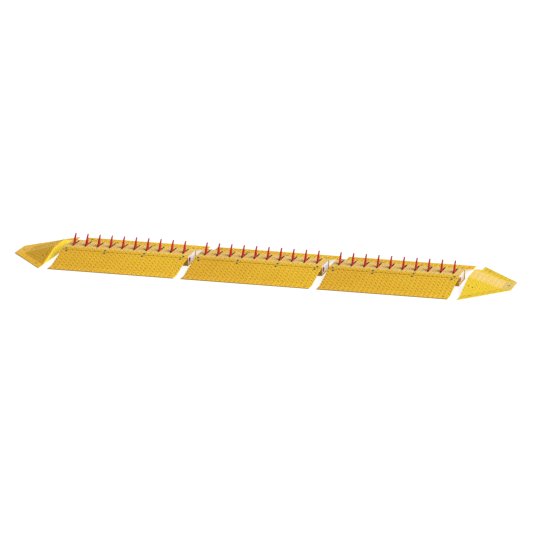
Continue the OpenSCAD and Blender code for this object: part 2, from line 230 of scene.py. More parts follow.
class StageSettings(bpy.types.PropertyGroup):
    """Camera, lamp and light from all round."""

    turn: angle_of("Turn", "Turn of the camera about the strip", 15.477)
    tilt: angle_of("Tilt", "Camera's height above the horizon", 14.631)
    roll: angle_of("Roll", "Roll of the camera", 0.278)
    distance: length_of("Distance", "From the camera to its target", 24.087)
    target: FloatVectorProperty(
        name="Target", description="Point in the middle of the picture", default=(0.0669, -0.0388, 0.0),
        subtype="XYZ", unit="LENGTH",
    )
    lens: FloatProperty(name="Lens", description="Focal length in millimetres", default=230.69)
    key: FloatProperty(name="Key", description="Strength of the key lamp", default=3.6)
    fill: FloatProperty(name="Fill", description="Strength of the light from all round", default=0.27)


class SpikeStripSettings(bpy.types.PropertyGroup):
    """All settings of the spike strip's looks."""

    tread: PointerProperty(type=TreadSettings)
    bolt: PointerProperty(type=BoltSettings)
    spike: PointerProperty(type=SpikeSettings)
    finish: PointerProperty(type=FinishSettings)
    stage: PointerProperty(type=StageSettings)


class Field:
    """A number that varies over a surface; sums and products of fields add Math nodes."""

    def __init__(self, owner, socket):
        self.owner = owner
        self.socket = socket

    def _math(self, operation, first, second):
        made = self.owner.node("ShaderNodeMath", {"operation": operation}, {0: first, 1: second})
        return Field(self.owner, made.outputs[0])

    def __add__(self, other):
        return self._math("ADD", self, other)

    def __radd__(self, other):
        return self._math("ADD", other, self)

    def __sub__(self, other):
        return self._math("SUBTRACT", self, other)

    def __rsub__(self, other):
        return self._math("SUBTRACT", other, self)

    def __mul__(self, other):
        return self._math("MULTIPLY", self, other)

    def __rmul__(self, other):
        return self._math("MULTIPLY", other, self)

    def larger(self, other):
        """The larger of the two."""
        return self._math("MAXIMUM", self, other)

    def size(self):
        """The number without its sign."""
        return self._math("ABSOLUTE", self, 0.0)

    def rounded(self):
        """The nearest whole number."""
        return self._math("ROUND", self, 0.0)

    def step(self, low, high):
        """Rises smoothly from 0 at low to 1 at high."""
        made = self.owner.node(
            "ShaderNodeMapRange", {"interpolation_type": "SMOOTHSTEP"},
            {"Value": self, "From Min": low, "From Max": high},
        )
        return Field(self.owner, made.outputs[0])

    def past(self, place, change):
        """Rises smoothly from 0 to 1 over a change, which starts and ends so far from the place."""
        return self.step(place + change[0], place + change[1])


class NodeTree:
    """A tree of nodes, which are all made by one method."""

    def __init__(self, tree):
        self.tree = tree
        self.tree.nodes.clear()

    def node(self, kind, settings, inputs):
        """Makes a node, sets its settings, then gives its sockets values or links."""
        made = self.tree.nodes.new(kind)
        for key, value in settings.items():
            setattr(made, key, value)
        for key, value in inputs.items():
            self.feed(made.inputs[key], value)
        return made

    def feed(self, socket, value):
        """Links a field or an output to the socket, or sets the socket's own value."""
        source = value.socket if isinstance(value, Field) else value
        if isinstance(source, bpy.types.NodeSocket):
            self.tree.links.new(source, socket)
        elif socket.type == "RGBA":
            socket.default_value = (*source, 1.0)
        else:
            socket.default_value = source


class Finish(NodeTree):
    """One material: a shader, and the fields and colours that vary over an object's own coordinates."""

    def __init__(self, name):
        self.material = bpy.data.materials.new(name)
        self.material.use_nodes = True
        super().__init__(self.material.node_tree)
        self.shader = self.node("ShaderNodeBsdfPrincipled", {}, {})
        self.output = self.node("ShaderNodeOutputMaterial", {}, {"Surface": self.shader.outputs[0]})
        self.place = self.node("ShaderNodeTexCoord", {}, {}).outputs["Object"]

    def axes(self):
        """The three object coordinates as fields."""
        split = self.node("ShaderNodeSeparateXYZ", {}, {0: self.place})
        return [Field(self, split.outputs[k]) for k in range(3)]

    def noise(self, scale, detail, stretch=(1.0, 1.0, 1.0)):
        """Cloudy field about 0.5; stretch multiplies its coordinates."""
        place = self.node("ShaderNodeMapping", {}, {"Vector": self.place, "Scale": stretch}).outputs[0]
        made = self.node("ShaderNodeTexNoise", {}, {"Vector": place, "Scale": scale, "Detail": detail})
        return Field(self, made.outputs[0])

    def attribute(self, name):
        """A mesh's own values, by name, as a field."""
        return Field(self, self.node("ShaderNodeAttribute", {"attribute_name": name}, {}).outputs["Fac"])

    def mix(self, factor, first, second):
        """Colour that goes from first to second with the factor."""
        made = self.node(
            "ShaderNodeMix", {"data_type": "RGBA"}, {"Factor": factor, 6: first, 7: second}
        )
        return made.outputs[2]

    def bump(self, height, distance, strength):
        """Normal of a surface raised by the height field over a distance."""
        made = self.node(
            "ShaderNodeBump", {}, {"Height": height, "Distance": distance, "Strength": strength}
        )
        return made.outputs[0]

    def wear(self, **sockets):
        """Feeds the shader's own sockets, named with underscores for spaces."""
        for key, value in sockets.items():
            self.feed(self.shader.inputs[key.replace("_", " ")], value)
        return self.material


def shared(make):
    """Makes a finish once, under its function's name, and finds it by that name afterwards."""
    def find():
        return bpy.data.materials.get(make.__name__) or make(Finish(make.__name__))
    return find


def settings():
    """The strip's settings in the open scene."""
    return bpy.context.scene.spike_strip


def shade(colour, share):
    """The colour with each of its parts multiplied by the share."""
    return tuple(share * part for part in colour)


def toward(colour, other, share):
    """The colour moved by the share of its distance to another."""
    return tuple((1 - share) * a + share * b for a, b in zip(colour, other))


def on_sections(x):
    """One along the sections and none on the caps."""
    return 1.0 - x.size().past(STRIP_HALF, PAST_SECTION_END)


def within_section(x):
    """Distance along the strip from the middle of the nearest section."""
    return x - (x * (1.0 / SECTION_PITCH)).rounded() * SECTION_PITCH


def between_plates(x):
    """One between the two bearing plates of a section, and none at its ends."""
    return 1.0 - within_section(x).size().past(SECTION_HALF, BEFORE_SECTION_END)


def interior(finish):
    """One on the faces inside a housing and in the slots above it, where shade is painted, and none outside."""
    x, y, z = finish.axes()
    across = 1.0 - y.size().past(BOX_INNER, PAST_INNER_WALL)
    level = z.past(WALL_T, BELOW_BASE) * (1.0 - z.past(DECK_H, BELOW_DECK))
    return between_plates(x) * across * level * on_sections(x)


def spots(along, out, holes):
    """One within the radius of each hole (along, out, radius), falling to none at twice that radius."""
    joined = 0.0
    for hole_along, hole_out, radius in holes:
        off_along = along - hole_along
        off_out = out - hole_out
        away = off_along * off_along + off_out * off_out
        joined = (1.0 - away.step(radius ** 2, (2 * radius) ** 2)) + joined
    return joined


def round_holes(finish):
    """One at the anchor and link holes of the lips and caps, and none a little way round them."""
    x, y, _ = finish.axes()
    anchors = [(SECTION_HALF - ANCHOR_INSET, ANCHOR_Y, ANCHOR_R)]
    on_lips = spots(within_section(x).size(), y.size(), anchors) * on_sections(x)
    return on_lips + spots(x.size() - CAP_START, y.size(), cap_holes())


def trodden(y):
    """One on the level strip between the bends, where wheels roll, and none on the ramps."""
    return 1.0 - y.size().past(BEND_Y, ABOUT_BEND)


def tread_coat(finish):
    """Yellow coating of the tread plate, with dust on the trodden strip that also stands in for painted sheen.

    It is painted with light from the right: painted shade to the left of each section and on the left cap, a
    painted highlight to the right of each section, and a paler lemon painted highlight on the right cap.
    """
    look = settings().finish
    x, y, _ = finish.axes()
    on = on_sections(x)
    run = within_section(x) * (0.5 / SECTION_HALF) + 0.5
    right = x.past(0.0, ABOUT_MIDDLE)
    cloud = finish.noise(scale=5.0, detail=3.0).step(*CLOUDY)
    # Painted light from the right: darker to the left and paler to the right of each section, darker on the left
    # cap and paler on the right, with a little random tone
    painted_light_and_tone = (run * on + right * (1.0 - on)) * 0.8 + cloud * 0.2
    colour = finish.mix(painted_light_and_tone, toward(look.yellow, *PAINTED_SHADE_COAT), toward(look.yellow, *PAINTED_HIGHLIGHT_COAT))
    # Painted highlight: the right cap nearer lemon
    colour = finish.mix(right * (1.0 - on) * 0.5, colour, PAINTED_HIGHLIGHT_LEMON)
    patches = finish.noise(scale=38.0, detail=3.0, stretch=(1.0, 0.4, 1.0)).step(*CLOUDY)
    # Dust on the trodden strip that also stands in for painted sheen; less on the left cap and more on the right
    # cap is painted shade and highlight
    dust_and_sheen_share = trodden(y) * (0.45 + patches * 0.45) * on.larger(0.3 + right * 0.8)
    return finish.mix(dust_and_sheen_share, colour, look.dust_and_sheen)


@shared
def tread_finish(finish):
    """Coated tread plate: fine speckle, dirt along seams and cut edges, and painted shade, with some grime, in the
    slots and under the deck.
    """
    look = settings().finish
    x, y, _ = finish.axes()
    speckle = finish.noise(scale=420.0, detail=2.0)
    streaks = finish.noise(scale=9.0, detail=4.0, stretch=(1.0, 0.12, 1.0))
    from_seam = (y.size() + slope_point(DECK_LIP + SEAM_GAP / 2)[0]).size()
    soiled = (
        speckle.step(0.52, 0.72) * 0.12,
        streaks.step(0.52, 0.75) * 0.06,
        (1.0 - from_seam.past(0.0, BESIDE_SEAM)) * on_sections(x) * 0.55,
        round_holes(finish) * 0.7,
        y.size().past(EDGE_Y, CUT_EDGE) * 0.4,
    )
    colour = tread_coat(finish)
    for share in soiled:
        colour = finish.mix(share, colour, look.dirt)
    # Painted shade, with some grime, inside the housings and slots
    colour = finish.mix(interior(finish) * GRIME_AND_SHADE_COVER, colour, look.grime_and_shade)
    grain = finish.bump(finish.noise(scale=900.0, detail=2.0), distance=0.0004, strength=0.25)
    return finish.wear(
        Base_Color=colour, Roughness=0.54 + speckle * 0.12, Normal=grain, Specular_IOR_Level=0.05
    )


@shared
def lug_finish(finish):
    """The same coating on the lugs: dirt and painted shade at the foot, rubbed and paler on the crown."""
    look = settings().finish
    x, y, _ = finish.axes()
    rise = finish.attribute("rise")
    rub = finish.noise(scale=160.0, detail=3.0)
    kept = (1.0 - trodden(y) * 0.5) * (0.4 + on_sections(x) * 0.6)
    # Darker at the lugs' foot: dirt, and painted shade in the creases
    foot = (1.0 - rise.step(0.05, 0.6)) * (0.15 + rub * 0.35) * kept
    colour = finish.mix(foot, tread_coat(finish), look.dirt)
    crown = rise.step(0.85, 1.0) * rub.step(0.35, 0.65)
    colour = finish.mix(crown * 0.12, colour, toward(look.yellow, *RUBBED_COAT))
    grain = finish.bump(finish.noise(scale=900.0, detail=2.0), distance=0.0004, strength=0.2)
    return finish.wear(
        Base_Color=colour, Roughness=0.58 - crown * 0.12, Normal=grain, Specular_IOR_Level=0.05
    )


@shared
def sheet_finish(finish):
    """Coated smooth sheet: faint runs, light orange peel, painted light on the caps, and painted shade with some
    grime in the housings.
    """
    look = settings().finish
    x, _, _ = finish.axes()
    broad = finish.noise(scale=7.0, detail=3.0)
    runs = finish.noise(scale=30.0, detail=3.0, stretch=(1.0, 1.0, 0.15))
    colour = finish.mix(broad.step(*CLOUDY), look.yellow, toward(look.yellow, *PALE_SHEET))
    # Painted light on the caps' sheet, which the next section shades from the lamp
    lit_caps_share = (1.0 - on_sections(x)) * (0.8 + broad * 0.2)
    colour = finish.mix(lit_caps_share, colour, toward(look.yellow, *PAINTED_LIGHT_SHEET))
    colour = finish.mix(runs.step(0.55, 0.8) * 0.18, colour, shade(look.yellow, 0.6))
    # Painted shade, with some grime, inside the housings
    colour = finish.mix(interior(finish) * GRIME_AND_SHADE_COVER, colour, look.grime_and_shade)
    peel = finish.bump(finish.noise(scale=350.0, detail=2.0), distance=0.0003, strength=0.2)
    return finish.wear(
        Base_Color=colour, Roughness=0.42 + runs * 0.12, Normal=peel, Specular_IOR_Level=0.1
    )


@shared
def red_finish(finish):
    """Red coating of spikes and shaft: rubbed, darker patches, and painted shade with some grime under the deck
    and at the spikes' foot.
    """
    look = settings().finish
    x, y, z = finish.axes()
    broad = finish.noise(scale=22.0, detail=4.0)
    scuff = finish.noise(scale=180.0, detail=4.0, stretch=(1.0, 0.35, 1.0))
    colour = finish.mix(broad.step(*CLOUDY), shade(look.red, 0.86), toward(look.red, *BRIGHT_RED))
    colour = finish.mix(scuff.step(0.60, 0.78) * 0.35, colour, shade(look.red, 0.45))
    under = 1.0 - z.past(DECK_H, UNDER_DECK)
    foot = (1.0 - z.past(DECK_H, SPIKE_FOOT)) * (1.0 - y.past(SHAFT_Y, SPIKE_FRONT))
    # Painted shade, with some grime: near black below the deck and at the front of each spike's foot
    colour = finish.mix(under.larger(foot) * between_plates(x) * 0.9, colour, look.grime_and_shade)
    peel = finish.bump(finish.noise(scale=500.0, detail=2.0), distance=0.0003, strength=0.2)
    return finish.wear(
        Base_Color=colour, Roughness=0.42 + scuff * 0.2, Normal=peel, Specular_IOR_Level=0.12
    )


@shared
def plastic_finish(finish):
    """White bearing plate: faint cool cloud and fine moulded grain."""
    white = settings().finish.white
    cloud = finish.noise(scale=18.0, detail=3.0)
    colour = finish.mix(cloud.step(0.35, 0.75), white, shade(white, 0.96))
    grain = finish.bump(finish.noise(scale=800.0, detail=2.0), distance=0.0002, strength=0.2)
    return finish.wear(Base_Color=colour, Roughness=0.45 + cloud * 0.15, Normal=grain)


def drawn_steel(finish, colour, roughness):
    """Drawn steel: fine lines along the strip and a dull cloud."""
    lines = finish.noise(scale=900.0, detail=2.0, stretch=(0.03, 1.0, 1.0))
    cloud = finish.noise(scale=40.0, detail=3.0)
    tint = finish.mix(cloud.step(*CLOUDY), shade(colour, 0.75), colour)
    grain = finish.bump(lines, distance=0.0002, strength=0.3)
    return finish.wear(
        Base_Color=tint, Metallic=1.0, Roughness=roughness + lines * 0.2, Normal=grain
    )


@shared
def bar_finish(finish):
    """Bare steel of the stop bars and collars."""
    return drawn_steel(finish, settings().finish.steel, roughness=0.34)


@shared
def wire_finish(finish):
    """Darker steel of the return springs' wire."""
    return drawn_steel(finish, shade(settings().finish.steel, 0.7), roughness=0.30)


@shared
def zinc_finish(finish):
    """Dark zinc of bolts and nuts: patchy passivated film with a cool cast."""
    zinc = settings().finish.zinc
    film = finish.noise(scale=260.0, detail=4.0)
    colour = finish.mix(film.step(0.35, 0.7), shade(zinc, 0.7), shade(zinc, 1.25))
    return finish.wear(
        Base_Color=colour, Metallic=0.2, Roughness=0.40 + film * 0.2, Specular_IOR_Level=0.2
    )


def add_piece(name, points, faces, material, body, slot, **fields):
    """Puts points and faces into a mesh at the origin, with smooth quads, that rides on a body if any."""
    mesh = bpy.data.meshes.new(name)
    mesh.from_pydata(points.reshape(-1, 3).tolist(), [], faces)
    for key, values in fields.items():
        layer = mesh.attributes.new(key, "FLOAT", "POINT")
        layer.data.foreach_set("value", np.asarray(values, np.float32).ravel())
    mesh.materials.append(material)
    mesh.polygons.foreach_set("use_smooth", np.array([len(face) <= 4 for face in faces]))
    mesh.validate()
    piece = bpy.data.objects.new(name, mesh)
    bpy.context.scene.collection.objects.link(piece)
    if body:
        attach(piece, body)
    return piece


def ring_faces(rings, sides):
    """Quads between neighbouring rings of equal sides, numbered ring by ring, and the two closing faces."""
    ring, side = np.meshgrid(np.arange(rings - 1), np.arange(sides), indexing="ij")
    here = ring * sides + side
    beside = ring * sides + (side + 1) % sides
    quads = np.stack([here, beside, beside + sides, here + sides], -1).reshape(-1, 4)
    first = np.arange(sides)[::-1]
    last = np.arange(sides) + (rings - 1) * sides
    return quads, np.stack([first, last])


def repeat_faces(quads, ends, size, count, flipped=False):
    """Face lists for count copies of one shape of so many points."""
    shift = size * np.arange(count)[:, None, None]
    turn = slice(None, None, -1) if flipped else slice(None)
    many = (quads[None] + shift).reshape(-1, quads.shape[1])[:, turn]
    caps = (ends[None] + shift).reshape(-1, ends.shape[1])[:, turn]
    return many.tolist() + caps.tolist()


def unit(vector):
    """The vector divided by its length."""
    return vector / np.linalg.norm(vector)


def curve(start, pull, end, steps=8):
    """Points of a curve that leaves start towards pull and reaches end from it, by squares of the share."""
    share = np.linspace(0.0, 1.0, steps + 1)[:, None]
    return (1 - share) ** 2 * start + 2 * share * (1 - share) * pull + share ** 2 * end


def bent_line(corners, radii):
    """Line of a bent plate's top in Y and Z, with each inner corner rounded over its radius."""
    corners = np.array(corners)
    parts = [corners[:1]]
    for k, radius in enumerate(radii, start=1):
        back = unit(corners[k - 1] - corners[k])
        ahead = unit(corners[k + 1] - corners[k])
        flat = radius / math.tan(math.acos(float(back @ ahead)) / 2)
        parts.append(curve(corners[k] + flat * back, corners[k], corners[k] + flat * ahead))
    parts.append(corners[-1:])
    return np.concatenate(parts)


def slope_point(down):
    """Place in Y and Z on the front slope, so far down from the deck's bend."""
    return np.array([-BEND_Y - down * math.cos(RAMP_A), DECK_H - down * math.sin(RAMP_A)])


def rear(line):
    """The same line on the rear side, from the middle outwards."""
    return (line * (-1, 1))[::-1]


def deck_line():
    """Line of a deck's top: up the front slope, level between the two bends, and down the rear slope."""
    front = np.array([slope_point(DECK_LIP), (-BEND_Y, DECK_H)])
    outer = BEND_R + PLATE_T
    return bent_line(np.concatenate([front, rear(front)]), (outer, outer))


def ramp_line():
    """Line of a front ramp's top: level along the ground lip, then up the slope to the seam."""
    corners = [(-EDGE_Y, PLATE_T), (-TOE_Y, PLATE_T), slope_point(DECK_LIP + SEAM_GAP)]
    return bent_line(corners, (BEND_R,))


def lug_grid(wide, deep, tread):
    """Centres and turns of lugs over a sheet.

    Lugs of one turn stand on a rectangular grid and lugs of the other turn in the middles of its cells,
    each along a diagonal of the cells, so that every lug points at the flank of its neighbour.
    """
    columns = int(wide / tread.across / 2) + 1
    rows = int(deep / tread.along / 2) + 1
    i, j = np.meshgrid(np.arange(-columns, columns + 1), np.arange(-rows, rows + 1), indexing="ij")
    i, j = i.ravel(), j.ravel()
    lean = math.atan2(tread.along, tread.across)
    across = tread.across * np.concatenate([i, i + 0.5])
    along = tread.along * np.concatenate([j, j + 0.5])
    return across, along, np.repeat([lean, -lean], len(i))


LUG_SIDES = 12
# Rings of a lug from its foot to its crown, as shares of its length, width and height
LUG_RINGS = np.array([(1.0, 1.0, -0.15), (0.90, 0.66, 0.58), (0.76, 0.38, 0.90), (0.56, 0.16, 1.0)])


def lug_points(tread, across, along, turn):
    """Points of lugs on a flat sheet: lens-shaped rings, long by cosine and wide by the sine squared."""
    t = np.arange(LUG_SIDES) * 2 * math.pi / LUG_SIDES
    long = tread.length / 2 * LUG_RINGS[:, :1] * np.cos(t)
    wide = tread.width / 2 * LUG_RINGS[:, 1:2] * np.sin(t) * np.abs(np.sin(t))
    rise = np.broadcast_to(LUG_RINGS[:, 2:], long.shape).ravel()
    long, wide = long.ravel(), wide.ravel()
    c, s = np.cos(turn)[:, None], np.sin(turn)[:, None]
    return across[:, None] + c * long - s * wide, along[:, None] + s * long + c * wide, rise


def clear_of(x, y, holes):
    """True for lugs none of whose points reach into a round place (x, y, radius)."""
    near = np.zeros(len(x), bool)
    for hole_x, hole_y, radius in holes:
        near |= (np.hypot(x - hole_x, y - hole_y) < radius).any(1)
    return ~near


def add_lugs(name, places, normals, rise, height, flipped=False):
    """Adds lugs whose points are raised from their places along the normals, by shares of the height."""
    points = places + rise[None, :, None] * height * normals
    quads, ends = ring_faces(len(LUG_RINGS), LUG_SIDES)
    faces = repeat_faces(quads, ends, points.shape[1], len(points), flipped)
    shares = np.broadcast_to(np.clip(rise, 0, 1), points.shape[:2])
    return add_piece(name, points, faces, lug_finish(), "strip", "yellow_tread", rise=shares)


def section_middle(section):
    """Middle of a section along X, and its width."""
    low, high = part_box(f"{section}_deck_plate")
    return (low.x + high.x) / 2, high.x - low.x


def spike_places(section):
    """Places of a section's spikes along X, evenly spaced between the end ones."""
    middle, wide = section_middle(section)
    return middle + np.linspace(SPIKE_INSET - wide / 2, wide / 2 - SPIKE_INSET, SPIKE_COUNT)


def bolt_places(section):
    """Bolts of one side as places along X and distances down the slope."""
    middle, wide = section_middle(section)
    places = []
    for inset, down in BOLT_ROWS:
        reach = wide / 2 - inset
        places += [(middle + x, down) for x in np.linspace(-reach, reach, BOLTS_IN_ROW)]
    return places


def slot_ends():
    """Front and back of a spike's slot in Y: ahead of the upright spike, and behind its tip's path."""
    under = DECK_H - PLATE_T - SHAFT_H
    entry = min(1.0, under / ROOT_FRONT[1]) * (ROOT_FRONT[0] + HUB_R) - HUB_R
    round_end = (SLOT_W - math.sqrt(SLOT_W ** 2 - SPIKE_T ** 2)) / 2
    back = math.sqrt(SPIKE_SET ** 2 + SPIKE_RISE ** 2 - under ** 2)
    return SHAFT_Y + entry - SLOT_FRONT_ROOM - round_end, SHAFT_Y + back + SLOT_BACK_ROOM


def trim_to_slots(x, y, across, along, slots):
    """Cuts lugs back to the slots' edges; returns the points and which lugs stand outside every slot.

    The slots are in the level part of a deck, where distances along the sheet are places in Y.
    """
    front, back = slot_ends()
    half = SLOT_W / 2
    beside = (along > front) & (along < back)
    kept = np.ones(len(x), bool)
    for slot in slots:
        off = across - slot
        kept &= ~(beside & (np.abs(off) < half))
        inside = (np.abs(x - slot) < half) & (y > front) & (y < back)
        edge = slot + np.where(off < 0, -half, half)[:, None]
        x = np.where(inside & beside[:, None], edge, x)
        end = np.where(along < front, front, back)[:, None]
        y = np.where(inside & ~beside[:, None], end, y)
    return x, y, kept


def add_section_lugs(section, piece, line, slots=()):
    """Lugs on one bent sheet of a section: the flat grid is wrapped along the line of the sheet's top.

    They are worn low on the level top of the deck, and rise to their full height over its bends.
    """
    tread = settings().tread
    middle, wide = section_middle(section)
    lengths = np.hypot(*np.diff(line, axis=0).T)
    run = np.concatenate([[0.0], np.cumsum(lengths)])
    run -= run[-1] / 2
    ahead = np.gradient(line, run, axis=0)
    ahead /= np.linalg.norm(ahead, axis=1)[:, None]
    across, along, turn = lug_grid(wide, run[-1] * 2, tread)
    inside = (np.abs(across) < wide / 2) & (np.abs(along) < run[-1])
    across, along, turn = across[inside] + middle, along[inside], turn[inside]
    x, s, rise = lug_points(tread, across, along, turn)
    x = np.clip(x, middle - wide / 2, middle + wide / 2)
    s = np.clip(s, run[0], run[-1])
    kept = np.ones(len(x), bool)
    if len(slots):
        x, s, kept = trim_to_slots(x, s, across, along, slots)
    y, z = (np.interp(s, run, line[:, k]) for k in range(2))
    anchor_x = wide / 2 - ANCHOR_INSET
    holes = []
    for side in (-1, 1):
        holes += [(px, side * slope_point(down)[0], BOLT_ROOM) for px, down in bolt_places(section)]
        holes += [(middle + a * anchor_x, side * ANCHOR_Y, ANCHOR_R + HOLE_ROOM) for a in (-1, 1)]
    kept &= clear_of(x, y, holes)
    normal_y, normal_z = -np.interp(s, run, ahead[:, 1]), np.interp(s, run, ahead[:, 0])
    places = np.stack([x, y, z], -1)[kept]
    normals = np.stack([np.zeros_like(x), normal_y, normal_z], -1)[kept]
    unworn = np.clip((np.abs(y[kept]).mean(1) - BEND_Y + WEAR_FADE) / WEAR_FADE, 0.0, 1.0)
    height = tread.worn + (tread.height - tread.worn) * unworn[:, None, None]
    return add_lugs(f"{section}_{piece}_lugs", places, normals, rise, height)


# Regions of a cap's unrolled sheet
ROOF, END_LIP, FLANK, SIDE_LIP = range(4)
# Width and depth of a grid that covers the sheet
CAP_SHEET = (2 * CAP_LEN + 0.5, 2 * EDGE_Y + 0.1)
# Step by which a lug's middle is moved both ways, and the least that it then moves where no edge holds it
NUDGE = 0.0004
FREE_MOVE = 1.25 * NUDGE


def cap_surface(u, v):
    """Places, normals and regions on a right-hand cap that is unrolled about its two sloping folds.

    u runs down the folds and v across them. Past a fold, a point lies so far out on the flank, and past the
    flank's foot it lies on the flat lip, as far out as it is past the foot on the unrolled sheet.
    """
    beta = math.atan(CAP_TAN)
    fold = np.array([math.cos(beta), 0.0, -math.sin(beta)])
    fall = np.array([0.0, BEND_Y - TOE_Y, PLATE_T - DECK_H])
    out = fall - (fall @ fold) * fold
    foot_u, foot_q = fall @ fold, np.linalg.norm(out)
    out = unit(out)
    length = CAP_FAR / math.cos(beta)
    foot_way = unit(np.array([length - foot_u, -foot_q]))
    foot_out = np.array([-foot_way[1], foot_way[0]])
    side_way = unit(np.array([CAP_FAR, TOE_Y - BEND_Y, 0.0]))
    side_out = np.array([side_way[1], -side_way[0], 0.0])
    q = np.abs(v) - BEND_Y
    side = q > 0
    lip_width = (CAP_LEN - CAP_FAR) * side_way[1]
    u = np.where(side, np.maximum(u, -q * out[0] / fold[0]), np.clip(u, 0.0, length + CAP_LEN - CAP_FAR))
    past = (u - foot_u) * foot_out[0] + (q - foot_q) * foot_out[1]
    over = np.where(side, np.maximum(past - lip_width, 0.0), 0.0)
    u, q, past = u - over * foot_out[0], q - over * foot_out[1], past - over
    along = (u - foot_u) * foot_way[0] + (q - foot_q) * foot_way[1]
    start = np.array([0.0, -BEND_Y, DECK_H])
    toe = np.array([0.0, -TOE_Y, PLATE_T])
    top = np.stack([
        np.minimum(u, length) * fold[0] + np.maximum(u - length, 0.0), -np.abs(v),
        DECK_H + np.minimum(u, length) * fold[2],
    ], -1)
    plane = start + u[..., None] * fold + q[..., None] * out
    lip = toe + along[..., None] * side_way + past[..., None] * side_out
    region = np.where(side, np.where(past > 0, SIDE_LIP, FLANK), np.where(u > length, END_LIP, ROOF))
    places = np.choose(region[..., None], [top, top, plane, lip])
    level = np.array([0.0, 0.0, 1.0])
    tops = np.array([math.sin(beta), 0.0, math.cos(beta)])
    normal = np.stack([tops, level, np.cross(out, fold), level])[region]
    mirror = np.where(v > 0, -1.0, 1.0)
    places[..., 1] *= mirror
    normal[..., 1] *= mirror
    return places, normal, region


def cap_holes():
    """Holes of a cap as places from its inner end and from the strip's middle line, with their radii."""
    lip = CAP_LEN - CAP_FAR
    side_y = ANCHOR_Y - CAP_ANCHOR_X * RAMP_RUN / CAP_LEN
    links = [(x, LINK_Y, LINK_R) for x in LINK_XS]
    return [(CAP_LEN - lip / 2, 0.0, ANCHOR_R), (CAP_ANCHOR_X, side_y, ANCHOR_R), *links]


def add_cap_lugs(cap):
    """Lugs on a cap's sloping planes and lips, from one grid on the unrolled sheet."""
    tread = settings().tread
    low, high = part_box(f"{cap}_cap_shell")
    across, along, turn = lug_grid(*CAP_SHEET, tread)
    u, v, rise = lug_points(tread, across, along, turn)
    centres, _, _ = cap_surface(across, along)
    grown, _, _ = cap_surface(across + NUDGE, along + NUDGE * np.sign(along))
    moved = np.linalg.norm(grown - centres, axis=-1) > FREE_MOVE
    places, normals, region = cap_surface(u, v)
    torn = (region == END_LIP).any(1) & (region > END_LIP).any(1)
    inward = (region[:, :1] == SIDE_LIP) & (np.abs(places[..., 1]) < BEND_Y)
    holes = [(x, way * y, radius + HOLE_ROOM) for x, y, radius in cap_holes() for way in (-1, 1)]
    kept = moved & ~torn & ~inward.any(1) & clear_of(places[..., 0], places[..., 1], holes)
    places, normals = places[kept], normals[kept]
    mirrored = cap == "left"
    sign = -1.0 if mirrored else 1.0
    places[..., 0] = sign * places[..., 0] + (high.x if mirrored else low.x)
    normals[..., 0] *= sign
    return add_lugs(f"{cap}_cap_lugs", places, normals, rise, tread.cap, mirrored)


class SPIKESTRIP_OT_tread_lugs(bpy.types.Operator):
    """Adds the raised lugs of the tread plate to decks, ramps and caps"""

    bl_idname = "spikestrip.tread_lugs"
    bl_label = "Tread lugs"

    def execute(self, context):
        front = ramp_line()
        for section in SECTIONS:
            add_section_lugs(section, "deck", deck_line(), spike_places(section))
            add_section_lugs(section, "front_ramp", front)
            add_section_lugs(section, "rear_ramp", rear(front))
        for cap in CAPS:
            add_cap_lugs(cap)
        return {"FINISHED"}


class SPIKESTRIP_OT_ramp_bolts(bpy.types.Operator):
    """Adds the domed socket-head bolts along the seams of decks and ramps"""

    bl_idname = "spikestrip.ramp_bolts"
    bl_label = "Ramp bolts"

    SIDES = 24
    # Rings of the dome and the rim of its socket, as shares of the head's radius
    DOME = np.array([0.995, 0.93, 0.82, 0.68, 0.56])
    RIM = 0.52
    # Least height of the dome's edge, and height of the socket's rim above the dome
    EDGE = 0.0004
    RIM_RISE = 0.0001
    # Depth of the socket, and the width of its floor as a share of its mouth
    SOCKET_DEPTH = 0.0028
    SOCKET_FLOOR = 0.97
    # Length of the shank past the two plates that it clamps
    SHANK_PAST = 0.008

    def bolt(self, size):
        """One bolt about Z: rings of shank, dome and hexagon socket, where the dome is part of a sphere."""
        ball = ((size.head / 2) ** 2 + size.rise ** 2) / (2 * size.rise)
        dome = size.head / 2 * self.DOME
        domed = size.rise - ball + np.sqrt(ball ** 2 - dome ** 2)
        mouth = domed[-1]
        radius = np.array([size.shank / 2, size.shank / 2, size.head / 2, *dome, size.head / 2 * self.RIM])
        height = np.array([
            -(2 * PLATE_T + self.SHANK_PAST), 0.0, 0.0, *np.maximum(domed, self.EDGE),
            mouth + self.RIM_RISE, mouth, mouth - self.SOCKET_DEPTH,
        ])
        t = np.arange(self.SIDES) * 2 * math.pi / self.SIDES
        hexagon = size.socket / 2 / np.cos((t + math.pi / 6) % (math.pi / 3) - math.pi / 6)
        circles = np.repeat(radius[:, None], self.SIDES, 1)
        rings = np.concatenate([circles, [hexagon, self.SOCKET_FLOOR * hexagon]])
        levels = np.broadcast_to(height[:, None], rings.shape)
        return np.stack([rings * np.cos(t), rings * np.sin(t), levels], -1)

    def tilted(self, bolt, angle):
        """The bolt turned about X by an angle."""
        c, s = math.cos(angle), math.sin(angle)
        return bolt @ np.array([[1, 0, 0], [0, c, s], [0, -s, c]])

    def execute(self, context):
        bolt = self.bolt(context.scene.spike_strip.bolt)
        quads, ends = ring_faces(len(bolt), self.SIDES)
        bolt = bolt.reshape(-1, 3)
        front_bolt = self.tilted(bolt, RAMP_A)
        rear_bolt = self.tilted(bolt, -RAMP_A)
        for section in SECTIONS:
            placed = []
            for x, down in bolt_places(section):
                y, z = slope_point(down)
                placed += [front_bolt + (x, y, z), rear_bolt + (x, -y, z)]
            faces = repeat_faces(quads, ends, len(bolt), len(placed))
            name = f"{section}_ramp_bolt_set"
            piece = add_piece(name, np.array(placed), faces, zinc_finish(), "strip", "dark_steel")
            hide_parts(f"{section}_ramp_bolts")
        return {"FINISHED"}


